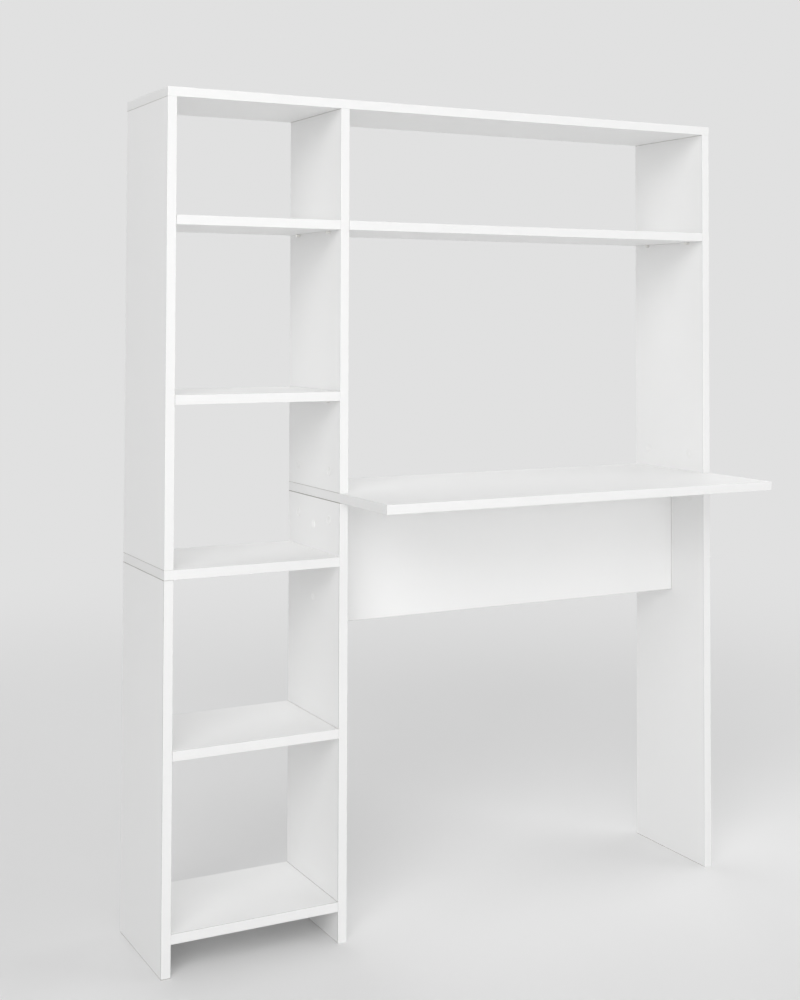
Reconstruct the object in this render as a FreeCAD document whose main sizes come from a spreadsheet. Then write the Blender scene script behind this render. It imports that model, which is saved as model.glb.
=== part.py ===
import FreeCAD, Part
import math
import os
import Sketcher

# A writing desk with a shelf unit above and beside it, built from coated particleboard.
# Frame: +X to the right, +Y to the back, +Z up, seen by someone sitting at the desk.
# The origin is on the floor, in the middle of the width and of the desktop's depth.

# Driving sizes in millimetres: each one is a cell of the sheet, under its own name.
SIZES = {
    # Carcass
    "unit_width": 1100.0,
    "unit_height": 1420.0,
    "shelf_depth": 215.0,
    "desktop_depth": 390.0,
    "desktop_height": 750.0,
    "board_thickness": 16.0,
    "column_width": 325.0,
    # Heights of the bays and drops below the desktop
    "top_bay_height": 191.0,
    "tie_shelf_drop": 107.0,
    "toe_gap": 52.0,
    "modesty_height": 222.0,
    # Edging
    "edging_thickness": 1.0,
    # Hardware rows and clearances
    "row_spacing": 128.0,
    "loose_shelf_gap": 0.3,
    "hole_clearance": 0.2,
    "overrun": 1.0,
    # Cam fittings
    "cam_diameter": 15.0,
    "cam_distance": 34.0,
    "cam_floor": 3.5,
    "cam_slot_width": 2.0,
    "cam_slot_depth": 1.5,
    "bolt_channel_diameter": 8.0,
    "bolt_shank_diameter": 7.0,
    "bolt_neck_diameter": 5.0,
    "bolt_neck_length": 4.0,
    "bolt_head_length": 3.0,
    "bolt_thread_diameter": 5.0,
    "blind_floor": 5.0,
    "cam_cap_rim": 0.5,
    "cam_cap_thickness": 0.5,
    # Dowels
    "dowel_diameter": 8.0,
    "dowel_reach": 25.0,
    "dowel_chamfer": 1.0,
    # Assembly screws and their caps
    "screw_length": 50.0,
    "screw_head_diameter": 10.0,
    "screw_head_height": 2.5,
    "screw_neck_diameter": 7.0,
    "screw_core_diameter": 5.0,
    "screw_tip_length": 5.0,
    "socket_flats": 4.0,
    "socket_depth": 3.0,
    "screw_cap_diameter": 13.0,
    "screw_cap_thickness": 0.8,
    "modesty_screw_inset": 48.0,
    # Shelf supports
    "support_pin_diameter": 5.0,
    "support_head_diameter": 5.4,
    "support_head_length": 8.0,
    "support_seat_depth": 0.4,
    "support_chamfer": 0.5,
}

# Shares of the sizes that they follow.
MIDDLE_SHELF_SHARE = 0.243
EDGING_ROUND_SHARE = 0.8
PIN_DEPTH_SHARE = 0.42
PIN_LENGTH_SHARE = 0.4
DOWEL_ROW_SHARE = 0.25
MODESTY_DOWEL_SHARES = (0.25, 0.5, 0.75)
CAP_PLUG_SHARE = 0.9
RIM_ROUND_SHARE = 0.6

AXES = "xyz"
# Each face of a board: the axis that it is square to, and whether it is the high one.
FACES = {
    "left": ("x", False),
    "right": ("x", True),
    "front": ("y", False),
    "back": ("y", True),
    "bottom": ("z", False),
    "top": ("z", True),
}
# The origin plane that is square to each axis.
PLANES = {"x": "YZ_Plane", "y": "XZ_Plane", "z": "XY_Plane"}

LEFTWARD = FreeCAD.Vector(-1, 0, 0)
RIGHTWARD = FreeCAD.Vector(1, 0, 0)
UPWARD = FreeCAD.Vector(0, 0, 1)
DOWNWARD = FreeCAD.Vector(0, 0, -1)

document = FreeCAD.newDocument("WritingDesk")
nodes = []
cuts = []


class Measure:
    """A length: its expression on the sheet, and its present value."""

    def __init__(self, text, value):
        self.text = text
        self.value = value

    def __add__(self, other):
        return Measure(f"({self.text} + {other.text})", self.value + other.value)

    def __sub__(self, other):
        return Measure(f"({self.text} - {other.text})", self.value - other.value)

    def __neg__(self):
        return Measure(f"(-1 * {self.text})", -self.value)

    def __mul__(self, share):
        return Measure(f"({self.text} * {share})", self.value * share)

    def __truediv__(self, number):
        return Measure(f"({self.text} / {number})", self.value / number)


ZERO = Measure("0", 0.0)


# Sheet

def make_sheet():
    """Write the driving sizes into a sheet and return them as measures."""
    sheet = document.addObject("Spreadsheet::Sheet", "Sizes")
    for row, (name, value) in enumerate(SIZES.items(), start=1):
        sheet.set(f"A{row}", name)
        sheet.set(f"B{row}", str(value))
        sheet.setAlias(f"B{row}", name)
    document.recompute()
    return {name: Measure(f"Sizes.{name}", value) for name, value in SIZES.items()}


size = make_sheet()
thickness = size["board_thickness"]


# Sketches and features

def bind(item, prop, measure):
    item.setExpression(prop, measure.text)


def vector(place):
    return FreeCAD.Vector(*[measure.value for measure in place])


def put(item, place, rotation=FreeCAD.Rotation()):
    """Place an object at three measures, turned by a fixed rotation."""
    item.Placement = FreeCAD.Placement(vector(place), rotation)
    for axis, measure in zip(AXES, place):
        bind(item, f"Placement.Base.{axis}", measure)


def new_body(label):
    body = document.addObject("PartDesign::Body", label)
    body.Label = label
    return body


def new_sketch(body, name, axis, level=ZERO):
    """A sketch square to an axis of its body, at a level along that axis."""
    sketch = body.newObject("Sketcher::SketchObject", f"{body.Name}_{name}_sketch")
    planes = [plane for plane in body.Origin.OriginFeatures if plane.Role == PLANES[axis]]
    sketch.AttachmentSupport = [(planes[0], "")]
    sketch.MapMode = "FlatFace"
    # The normal of the plane that is square to Y points to the front.
    bind(sketch, "AttachmentOffset.Base.z", -level if axis == "y" else level)
    return sketch


def fix(sketch, kind, *parts_and_measure):
    """Add a driving constraint whose value is a measure."""
    parts, measure = parts_and_measure[:-1], parts_and_measure[-1]
    index = sketch.addConstraint(Sketcher.Constraint(kind, *parts, measure.value))
    bind(sketch, f"Constraints[{index}]", measure)


def fix_point(sketch, item, point, place):
    """Fix a point of a sketch at two measures from the sketch's origin."""
    across, along = place
    if across is ZERO:
        sketch.addConstraint(Sketcher.Constraint("PointOnObject", item, point, -2))
    else:
        fix(sketch, "DistanceX", -1, 1, item, point, across)
    if along is ZERO:
        sketch.addConstraint(Sketcher.Constraint("PointOnObject", item, point, -1))
    else:
        fix(sketch, "DistanceY", -1, 1, item, point, along)


def draw_outline(sketch, points):
    """Draw a closed outline of straight lines through points given as measures."""
    corners = [FreeCAD.Vector(across.value, along.value, 0) for across, along in points]
    ends = corners[1:] + corners[:1]
    lines = [Part.LineSegment(start, end) for start, end in zip(corners, ends)]
    items = sketch.addGeometry(lines, False)
    for item, following in zip(items, items[1:] + items[:1]):
        sketch.addConstraint(Sketcher.Constraint("Coincident", item, 2, following, 1))
    for item, point in zip(items, points):
        fix_point(sketch, item, 1, point)


def draw_rectangle(sketch, low, high):
    draw_outline(sketch, [low, (high[0], low[1]), high, (low[0], high[1])])


def draw_circles(sketch, places, diameter):
    for across, along in places:
        centre = FreeCAD.Vector(across.value, along.value, 0)
        circle = Part.Circle(centre, FreeCAD.Vector(0, 0, 1), diameter.value / 2)
        item = sketch.addGeometry(circle, False)
        fix(sketch, "Diameter", item, diameter)
        fix_point(sketch, item, 3, (across, along))


def pad(body, sketch, length, reverse=False):
    feature = body.newObject("PartDesign::Pad", f"{sketch.Name}_pad")
    feature.Profile = sketch
    feature.Reversed = reverse
    bind(feature, "Length", length)
    return feature


def pocket(body, sketch, depth, reverse=False):
    feature = body.newObject("PartDesign::Pocket", f"{sketch.Name}_cut")
    feature.Profile = sketch
    feature.Reversed = reverse
    bind(feature, "Length", depth)
    cuts.append(feature)
    return feature


def revolve(body, sketch):
    feature = body.newObject("PartDesign::Revolution", f"{sketch.Name}_turned")
    feature.Profile = sketch
    feature.ReferenceAxis = (sketch, ["V_Axis"])
    return feature


def turned_body(label, outline):
    """A body turned about Z from an outline of (radius, height) measures."""
    body = new_body(label)
    sketch = new_sketch(body, "profile", "y")
    draw_outline(sketch, outline)
    revolve(body, sketch)
    return body


def turn_to(x_axis, z_axis):
    """The rotation that takes a piece's own X and Z to two given directions."""
    return FreeCAD.Rotation(x_axis, z_axis.cross(x_axis), z_axis, "XZY")


def keep(label, members):
    """Make one node of one or more pieces, each of them a solid of its own."""
    group = document.addObject("Part::Compound", label)
    group.Label = label
    group.Links = members
    nodes.append(group)


def keep_copies(label, piece, placings):
    """Make one node of copies of a piece, each at a place and with a rotation."""
    copies = []
    for number, (place, rotation) in enumerate(placings, start=1):
        copy = document.addObject("App::Link", f"{label}_{number}")
        copy.LinkedObject = piece
        put(copy, place, rotation)
        copies.append(copy)
    keep(label, copies)


# Boards

class Board:
    """A rectangular board with its low and high corners in the desk's own frame."""

    def __init__(self, label, low, high):
        self.low = low
        self.high = high
        self.body = new_body(label)
        put(self.body, low)
        depth = high[2] - low[2]
        sketch = new_sketch(self.body, "outline", "z")
        draw_rectangle(sketch, (ZERO, ZERO), (high[0] - low[0], high[1] - low[1]))
        pad(self.body, sketch, depth)
        nodes.append(self.body)

    def drill(self, name, face, places, diameter, depth):
        """Drill holes into a face, at places given along the two other axes of the desk."""
        axis, is_high = FACES[face]
        index = AXES.index(axis)
        others = [AXES.index(other) for other in AXES if other != axis]
        level = self.high[index] - self.low[index] if is_high else ZERO
        sketch = new_sketch(self.body, name, axis, level)
        local = [
            [measure - self.low[other] for measure, other in zip(place, others)]
            for place in places
        ]
        draw_circles(sketch, local, diameter)
        # A cut runs against its sketch's normal, which points along +X and +Z but against +Y.
        along_normal = is_high if axis == "y" else not is_high
        pocket(self.body, sketch, depth, along_normal)


def make_strip(label, low, high, outward):
    """A strip of edging whose two outer arrises are rounded."""
    body = new_body(label)
    put(body, low)
    sketch = new_sketch(body, "outline", "z")
    draw_rectangle(sketch, (ZERO, ZERO), (high[0] - low[0], high[1] - low[1]))
    block = pad(body, sketch, high[2] - low[2])
    document.recompute()
    axis, is_high = FACES[outward]
    index = AXES.index(axis)
    spans = [end.value - start.value for start, end in zip(low, high)]
    outer = spans[index] if is_high else 0.0
    length = max(spans)
    edges = []
    for number, edge in enumerate(block.Shape.Edges, start=1):
        ends = [vertex.Point[index] for vertex in edge.Vertexes]
        is_outer = all(math.isclose(end, outer, abs_tol=1e-6) for end in ends)
        if is_outer and math.isclose(edge.Length, length, rel_tol=1e-6):
            edges.append(f"Edge{number}")
    rounding = body.newObject("PartDesign::Fillet", f"{label}_rounding")
    rounding.Base = (block, edges)
    bind(rounding, "Radius", size["edging_thickness"] * EDGING_ROUND_SHARE)
    return body


def make_edging(label, low, high, banded):
    """Strips of edging on some faces of a box, with the front strip over the ends of the others."""
    skin = size["edging_thickness"]
    front_is_banded = "front" in banded
    front_index = AXES.index("y")
    strips = []
    for face in banded:
        axis, is_high = FACES[face]
        index = AXES.index(axis)
        strip_low = list(low)
        strip_high = list(high)
        if is_high:
            strip_low[index] = high[index] - skin
        else:
            strip_high[index] = low[index] + skin
        if front_is_banded and face != "front":
            strip_low[front_index] = low[front_index] + skin
        strips.append(make_strip(f"{label}_{face}", strip_low, strip_high, face))
    keep(label, strips)


def make_board(label, low, high, banded=("front",)):
    """A board within a box, with its edging inside that box on the faces that are banded."""
    skin = size["edging_thickness"]
    core_low = list(low)
    core_high = list(high)
    for face in banded:
        axis, is_high = FACES[face]
        index = AXES.index(axis)
        if is_high:
            core_high[index] = high[index] - skin
        else:
            core_low[index] = low[index] + skin
    board = Board(label, core_low, core_high)
    make_edging(f"{label}_edging", low, high, banded)
    return board


# Places that the boards and the hardware share

left_outer = -size["unit_width"] / 2
right_outer = size["unit_width"] / 2
left_inner = left_outer + thickness
right_inner = right_outer - thickness
partition_right = left_outer + size["column_width"]
partition_left = partition_right - thickness

desk_front = -size["desktop_depth"] / 2
back = size["desktop_depth"] / 2
shelf_front = back - size["shelf_depth"]
middle = back - size["shelf_depth"] / 2
front_row = middle - size["row_spacing"] / 2
back_row = middle + size["row_spacing"] / 2
rows = (front_row, back_row)
dowel_row = middle + size["row_spacing"] * DOWEL_ROW_SHARE

bottom_low = size["toe_gap"]
bottom_high = bottom_low + thickness
desk_high = size["desktop_height"]
desk_low = desk_high - thickness
tie_high = desk_high - size["tie_shelf_drop"]
tie_low = tie_high - thickness
top_high = size["unit_height"]
top_low = top_high - thickness
upper_high = top_low - size["top_bay_height"]
upper_low = upper_high - thickness
# The middle shelf's supports stay above the cams over the desktop.
fittings_high = desk_high + size["cam_distance"] * 2
middle_low = fittings_high + (upper_low - fittings_high - thickness) * MIDDLE_SHELF_SHARE
middle_high = middle_low + thickness
lower_low = bottom_high + (tie_low - bottom_high - thickness) / 2
lower_high = lower_low + thickness

modesty_front = middle - thickness / 2
modesty_back = middle + thickness / 2
modesty_low = desk_low - size["modesty_height"]
modesty_screws = (desk_low - size["modesty_screw_inset"], modesty_low + size["modesty_screw_inset"])
modesty_width = right_inner - partition_right
modesty_dowels = [partition_right + modesty_width * share for share in MODESTY_DOWEL_SHARES]

half = thickness / 2
left_mid = left_outer + half
partition_mid = partition_left + half
right_mid = right_inner + half
uprights = (left_mid, partition_mid, right_mid)

clearance = size["hole_clearance"]
cam_depth = thickness - size["cam_floor"]
blind_depth = thickness - size["blind_floor"]
pin_depth = thickness * PIN_DEPTH_SHARE
support_radius = size["support_head_diameter"] / 2
pin_axis = support_radius - size["support_seat_depth"]

cam_hole = size["cam_diameter"] + clearance
channel = size["bolt_channel_diameter"]
channel_depth = size["cam_distance"] + size["bolt_head_length"]
dowel_hole = size["dowel_diameter"] + clearance
neck_hole = size["screw_neck_diameter"] + clearance
head_hole = size["screw_head_diameter"] + clearance
core_hole = size["screw_core_diameter"] + clearance
pin_hole = size["support_pin_diameter"] + clearance
thread_hole = size["bolt_thread_diameter"] + clearance
through = thickness + size["overrun"]
screw_reach = size["screw_length"] - thickness + size["overrun"]


# Drilling that several boards have in common

def drill_cam_end(board, name, inner_face, end, x, z_end, z_cam):
    """Cam pockets in an upright's inner face, with the bolt channels and a dowel hole in its end."""
    board.drill(f"{name}_cams", inner_face, [(y, z_cam) for y in rows], cam_hole, cam_depth)
    board.drill(f"{name}_channels", end, [(x, y) for y in rows], channel, channel_depth)
    board.drill(f"{name}_dowel", end, [(x, dowel_row)], dowel_hole, size["dowel_reach"])


def drill_screw_end(board, x):
    """Pilot holes and a dowel hole in the top end of an upright, under the top panel."""
    board.drill("pilots", "top", [(x, y) for y in rows], core_hole, screw_reach)
    board.drill("dowel", "top", [(x, dowel_row)], dowel_hole, size["dowel_reach"])


def drill_supports(board, name, face, shelf_low):
    """Holes for the pins of the supports under a loose shelf."""
    places = [(y, shelf_low - pin_axis) for y in rows]
    board.drill(name, face, places, pin_hole, pin_depth)


def drill_shelf_joint(board, name, face, shelf_low):
    """Holes in an upright's face for the bolts and the dowel in a fixed shelf's end."""
    level = shelf_low + half
    board.drill(f"{name}_bolts", face, [(y, level) for y in rows], thread_hole, blind_depth)
    board.drill(f"{name}_dowel", face, [(dowel_row, level)], dowel_hole, blind_depth)


def drill_shelf_end(board, name, end, x_cam, shelf_low):
    """Cam pockets under a fixed shelf, with the bolt channels and a dowel hole in its end."""
    level = shelf_low + half
    board.drill(f"{name}_cams", "bottom", [(x_cam, y) for y in rows], cam_hole, cam_depth)
    board.drill(f"{name}_channels", end, [(y, level) for y in rows], channel, channel_depth)
    board.drill(f"{name}_dowel", end, [(dowel_row, level)], dowel_hole, size["dowel_reach"])


def drill_screws_through(board, face, places):
    """Stepped holes for assembly screws that pass through a board."""
    board.drill("necks", face, places, neck_hole, through)
    board.drill("heads", face, places, head_hole, size["screw_head_height"])


# The boards, one by one

def make_top_panel():
    low = (left_outer, shelf_front, top_low)
    high = (right_outer, back, top_high)
    board = make_board("top_panel", low, high, ("front", "left", "right"))
    drill_screws_through(board, "top", [(x, y) for x in uprights for y in rows])
    board.drill("dowels", "bottom", [(x, dowel_row) for x in uprights], dowel_hole, blind_depth)


def make_upper_left_side():
    low = (left_outer, shelf_front, tie_high)
    board = make_board("upper_left_side", low, (left_inner, back, top_low))
    drill_screw_end(board, left_mid)
    z_cam = tie_high + size["cam_distance"]
    drill_cam_end(board, "tie", "right", "bottom", left_mid, tie_high, z_cam)
    drill_supports(board, "upper_supports", "right", upper_low)
    drill_supports(board, "middle_supports", "right", middle_low)


def make_lower_left_side():
    low = (left_outer, shelf_front, ZERO)
    board = make_board("lower_left_side", low, (left_inner, back, tie_low))
    z_cam = tie_low - size["cam_distance"]
    drill_cam_end(board, "tie", "right", "top", left_mid, tie_low, z_cam)
    drill_supports(board, "lower_supports", "right", lower_low)
    drill_shelf_joint(board, "bottom", "right", bottom_low)


def make_upper_partition():
    low = (partition_left, shelf_front, desk_high)
    board = make_board("upper_partition", low, (partition_right, back, top_low))
    drill_screw_end(board, partition_mid)
    z_cam = desk_high + size["cam_distance"]
    drill_cam_end(board, "desk", "left", "bottom", partition_mid, desk_high, z_cam)
    drill_supports(board, "upper_supports", "left", upper_low)
    drill_supports(board, "middle_supports", "left", middle_low)
    drill_supports(board, "long_supports", "right", upper_low)


def make_lower_partition():
    low = (partition_left, shelf_front, ZERO)
    board = make_board("lower_partition", low, (partition_right, back, desk_low))
    z_cam = desk_low - size["cam_distance"]
    drill_cam_end(board, "desk", "left", "top", partition_mid, desk_low, z_cam)
    drill_supports(board, "lower_supports", "left", lower_low)
    drill_shelf_joint(board, "tie", "left", tie_low)
    drill_shelf_joint(board, "bottom", "left", bottom_low)
    drill_screws_through(board, "left", [(middle, z) for z in modesty_screws])


def make_upper_right_side():
    low = (right_inner, shelf_front, desk_high)
    board = make_board("upper_right_side", low, (right_outer, back, top_low))
    drill_screw_end(board, right_mid)
    z_cam = desk_high + size["cam_distance"]
    drill_cam_end(board, "desk", "left", "bottom", right_mid, desk_high, z_cam)
    drill_supports(board, "long_supports", "left", upper_low)


def make_lower_right_side():
    low = (right_inner, shelf_front, ZERO)
    board = make_board("lower_right_side", low, (right_outer, back, desk_low))
    z_cam = desk_low - size["cam_distance"]
    drill_cam_end(board, "desk", "left", "top", right_mid, desk_low, z_cam)
    drill_screws_through(board, "right", [(middle, z) for z in modesty_screws])


def make_desktop():
    low = (partition_left, desk_front, desk_low)
    high = (right_outer, back, desk_high)
    board = make_board("desktop", low, high, ("front", "left", "right"))
    ends = (partition_mid, right_mid)
    board.drill("bolts", "top", [(x, y) for x in ends for y in rows], channel, through)
    board.drill("dowels", "top", [(x, dowel_row) for x in ends], dowel_hole, through)
    places = [(x, middle) for x in modesty_dowels]
    board.drill("modesty_dowels", "bottom", places, dowel_hole, blind_depth)


def make_modesty_panel():
    low = (partition_right, modesty_front, modesty_low)
    high = (right_inner, modesty_back, desk_low)
    board = make_board("modesty_panel", low, high, ("bottom",))
    for end in ("left", "right"):
        places = [(middle, z) for z in modesty_screws]
        board.drill(f"{end}_pilots", end, places, core_hole, screw_reach)
    places = [(x, middle) for x in modesty_dowels]
    board.drill("dowels", "top", places, dowel_hole, size["dowel_reach"])


def make_tie_shelf():
    low = (left_outer, shelf_front, tie_low)
    high = (partition_left, back, tie_high)
    board = make_board("tie_shelf", low, high, ("front", "left"))
    board.drill("side_bolts", "top", [(left_mid, y) for y in rows], channel, through)
    board.drill("side_dowel", "top", [(left_mid, dowel_row)], dowel_hole, through)
    x_cam = partition_left - size["cam_distance"]
    drill_shelf_end(board, "right", "right", x_cam, tie_low)


def make_bottom_shelf():
    low = (left_inner, shelf_front, bottom_low)
    board = make_board("bottom_shelf", low, (partition_left, back, bottom_high))
    drill_shelf_end(board, "left", "left", left_inner + size["cam_distance"], bottom_low)
    drill_shelf_end(board, "right", "right", partition_left - size["cam_distance"], bottom_low)


def make_loose_shelves():
    """The shelves that lie on supports, with a little play at both ends."""
    gap = size["loose_shelf_gap"]
    column = (left_inner + gap, partition_left - gap)
    bay = (partition_right + gap, right_inner - gap)
    shelves = {
        "upper_left_shelf": (column, upper_low, upper_high),
        "middle_left_shelf": (column, middle_low, middle_high),
        "lower_left_shelf": (column, lower_low, lower_high),
        "upper_right_shelf": (bay, upper_low, upper_high),
    }
    for label, (ends, shelf_low, shelf_high) in shelves.items():
        make_board(label, (ends[0], shelf_front, shelf_low), (ends[1], back, shelf_high))


# Patterns for the hardware, each one made once at its own origin

def make_cam():
    """A cam housing: its face is at the origin, facing +Z, and it grips its bolt from +X."""
    body = new_body("cam_pattern")
    radius = size["cam_diameter"] / 2
    grip = size["bolt_shank_diameter"] + clearance
    sketch = new_sketch(body, "disc", "z")
    draw_circles(sketch, [(ZERO, ZERO)], size["cam_diameter"])
    pad(body, sketch, cam_depth, True)
    mouth = new_sketch(body, "mouth", "x", -size["bolt_head_length"])
    draw_circles(mouth, [(ZERO, -half)], grip)
    pocket(body, mouth, radius + size["bolt_head_length"] + size["overrun"], True)
    reach = radius / 2
    slot = size["cam_slot_width"] / 2
    for name, across, along in (("slot", reach, slot), ("cross_slot", slot, reach)):
        sketch = new_sketch(body, name, "z")
        draw_rectangle(sketch, (-across, -along), (across, along))
        pocket(body, sketch, size["cam_slot_depth"])
    return body


def make_cam_cap():
    """A flat cap with a rounded rim, lying on the board over a cam."""
    radius = size["cam_diameter"] / 2 + size["cam_cap_rim"]
    rise = size["cam_cap_thickness"]
    bevel = rise * RIM_ROUND_SHARE
    plug = size["cam_slot_width"] / 2 * CAP_PLUG_SHARE
    outline = [
        (ZERO, -size["cam_slot_depth"] * CAP_PLUG_SHARE),
        (plug, -size["cam_slot_depth"] * CAP_PLUG_SHARE),
        (plug, ZERO),
        (radius, ZERO),
        (radius, rise - bevel),
        (radius - bevel, rise),
        (ZERO, rise),
    ]
    return turned_body("cam_cap_pattern", outline)


def bolt_end(reach):
    """The outline of a bolt's head end, from its shank out to a reach from the origin."""
    head = size["bolt_shank_diameter"] / 2
    neck = size["bolt_neck_diameter"] / 2
    head_start = reach - size["bolt_head_length"]
    neck_start = head_start - size["bolt_neck_length"]
    return [(head, neck_start), (neck, neck_start), (neck, head_start), (head, head_start), (head, reach)]


def make_bolt():
    """A bolt screwed into an upright's face at the origin, with its head along +Z."""
    reach = size["cam_distance"] + size["bolt_head_length"] / 2
    thread = size["bolt_thread_diameter"] / 2
    shank = size["bolt_shank_diameter"] / 2
    outline = [(ZERO, -blind_depth), (thread, -blind_depth), (thread, ZERO), (shank, ZERO)]
    outline += bolt_end(reach) + [(ZERO, reach)]
    return turned_body("bolt_pattern", outline)


def make_double_bolt():
    """A bolt with a head at each end, centred in the board that it passes through."""
    reach = half + size["cam_distance"] + size["bolt_head_length"] / 2
    upper = bolt_end(reach)
    lower = [(radius, -height) for radius, height in reversed(upper)]
    outline = [(ZERO, -reach)] + lower + upper + [(ZERO, reach)]
    return turned_body("double_bolt_pattern", outline)


def make_dowel(label, low, high):
    """A wooden dowel along Z with chamfered ends."""
    radius = size["dowel_diameter"] / 2
    chamfer = size["dowel_chamfer"]
    outline = [
        (ZERO, low),
        (radius - chamfer, low),
        (radius, low + chamfer),
        (radius, high - chamfer),
        (radius - chamfer, high),
        (ZERO, high),
    ]
    return turned_body(label, outline)


def make_screw():
    """An assembly screw with its head flush at the origin and its tip along -Z."""
    head = size["screw_head_diameter"] / 2
    neck = size["screw_neck_diameter"] / 2
    core = size["screw_core_diameter"] / 2
    tip = -size["screw_length"]
    outline = [
        (ZERO, tip),
        (core, tip + size["screw_tip_length"]),
        (core, -thickness),
        (neck, -thickness),
        (neck, -size["screw_head_height"]),
        (head, -size["screw_head_height"]),
        (head, ZERO),
        (ZERO, ZERO),
    ]
    body = turned_body("screw_pattern", outline)
    sketch = new_sketch(body, "socket", "z")
    draw_outline(sketch, hexagon(size["socket_flats"]))
    pocket(body, sketch, size["socket_depth"])
    return body


def hexagon(flats):
    """The corners of a hexagon from the distance across its flats."""
    turns = [math.radians(60 * corner + 30) for corner in range(6)]
    radius = flats / (2 * math.cos(turns[0]))
    return [(radius * math.cos(turn), radius * math.sin(turn)) for turn in turns]


def make_screw_cap():
    """A cap over a screw's head, with a six-sided plug in its socket."""
    body = new_body("screw_cap_pattern")
    radius = size["screw_cap_diameter"] / 2
    rise = size["screw_cap_thickness"]
    bevel = rise * RIM_ROUND_SHARE
    outline = [(ZERO, ZERO), (radius, ZERO), (radius, rise - bevel), (radius - bevel, rise), (ZERO, rise)]
    profile = new_sketch(body, "profile", "y")
    draw_outline(profile, outline)
    revolve(body, profile)
    plug = new_sketch(body, "plug", "z")
    draw_outline(plug, hexagon(size["socket_flats"] * CAP_PLUG_SHARE))
    pad(body, plug, size["socket_depth"] * CAP_PLUG_SHARE, True)
    return body


def make_support():
    """A shelf support: a pin along -Z and a thicker head along +Z, with a flat seat facing +X."""
    pin = size["support_pin_diameter"] / 2
    pin_end = -thickness * PIN_LENGTH_SHARE
    tip = size["support_head_length"]
    chamfer = size["support_chamfer"]
    outline = [
        (ZERO, pin_end),
        (pin - chamfer, pin_end),
        (pin, pin_end + chamfer),
        (pin, ZERO),
        (support_radius, ZERO),
        (support_radius, tip - chamfer),
        (support_radius - chamfer, tip),
        (ZERO, tip),
    ]
    body = turned_body("support_pattern", outline)
    side = support_radius + size["overrun"]
    seat = new_sketch(body, "seat", "z")
    draw_rectangle(seat, (pin_axis, -side), (side, side))
    pocket(body, seat, tip + size["overrun"], True)
    return body


# Hardware in its places

def cam_placings():
    """Every group of cams: its name and the place and rotation of each cam in it."""
    left_up = turn_to(UPWARD, RIGHTWARD)
    left_down = turn_to(DOWNWARD, RIGHTWARD)
    face_up = turn_to(UPWARD, LEFTWARD)
    face_down = turn_to(DOWNWARD, LEFTWARD)
    under_right = turn_to(RIGHTWARD, DOWNWARD)
    under_left = turn_to(LEFTWARD, DOWNWARD)
    reach = size["cam_distance"]
    below_desk = desk_low - reach
    above_desk = desk_high + reach
    groups = {"left_tie": [], "partition_desk": [], "right_desk": [], "column_shelf": []}
    for y in rows:
        groups["left_tie"] += [
            ((left_inner, y, tie_low - reach), left_up),
            ((left_inner, y, tie_high + reach), left_down),
        ]
        for name, x in (("partition_desk", partition_left), ("right_desk", right_inner)):
            groups[name] += [((x, y, below_desk), face_up), ((x, y, above_desk), face_down)]
        groups["column_shelf"] += [
            ((partition_left - reach, y, tie_low), under_right),
            ((partition_left - reach, y, bottom_low), under_right),
            ((left_inner + reach, y, bottom_low), under_left),
        ]
    return groups


def place_cams():
    cam = make_cam()
    cap = make_cam_cap()
    for name, placings in cam_placings().items():
        keep_copies(f"{name}_cams", cam, placings)
        keep_copies(f"{name}_cam_caps", cap, placings)


def place_bolts():
    double_bolt = make_double_bolt()
    upright = FreeCAD.Rotation()
    for name, x, level in (
        ("left_tie_bolts", left_mid, tie_low + half),
        ("partition_desk_bolts", partition_mid, desk_low + half),
        ("right_desk_bolts", right_mid, desk_low + half),
    ):
        keep_copies(name, double_bolt, [((x, y, level), upright) for y in rows])
    bolt = make_bolt()
    to_right = turn_to(UPWARD, RIGHTWARD)
    to_left = turn_to(UPWARD, LEFTWARD)
    placings = []
    for y in rows:
        placings += [
            ((partition_left, y, tie_low + half), to_left),
            ((partition_left, y, bottom_low + half), to_left),
            ((left_inner, y, bottom_low + half), to_right),
        ]
    keep_copies("column_shelf_bolts", bolt, placings)


def place_dowels():
    reach = size["dowel_reach"]
    upright = FreeCAD.Rotation()
    end_dowel = make_dowel("end_dowel_pattern", -reach, blind_depth)
    through_dowel = make_dowel("through_dowel_pattern", -half - reach, half + reach)
    tops = [((x, dowel_row, top_low), upright) for x in uprights]
    keep_copies("top_panel_dowels", end_dowel, tops)
    for name, x, level in (
        ("left_tie_dowel", left_mid, tie_low + half),
        ("partition_desk_dowel", partition_mid, desk_low + half),
        ("right_desk_dowel", right_mid, desk_low + half),
    ):
        keep_copies(name, through_dowel, [((x, dowel_row, level), upright)])
    modesty = [((x, middle, desk_low), upright) for x in modesty_dowels]
    keep_copies("modesty_dowels", end_dowel, modesty)
    into_left = turn_to(UPWARD, LEFTWARD)
    into_right = turn_to(UPWARD, RIGHTWARD)
    shelf_ends = [
        ((partition_left, dowel_row, tie_low + half), into_right),
        ((partition_left, dowel_row, bottom_low + half), into_right),
        ((left_inner, dowel_row, bottom_low + half), into_left),
    ]
    keep_copies("column_shelf_dowels", end_dowel, shelf_ends)


def place_screws():
    screw = make_screw()
    cap = make_screw_cap()
    facing_up = FreeCAD.Rotation()
    facing_left = turn_to(UPWARD, LEFTWARD)
    facing_right = turn_to(UPWARD, RIGHTWARD)
    top = [((x, y, top_high), facing_up) for x in uprights for y in rows]
    modesty = []
    for z in modesty_screws:
        modesty += [((partition_left, middle, z), facing_left), ((right_outer, middle, z), facing_right)]
    for name, placings in (("top_panel", top), ("modesty", modesty)):
        keep_copies(f"{name}_screws", screw, placings)
        keep_copies(f"{name}_screw_caps", cap, placings)


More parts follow.
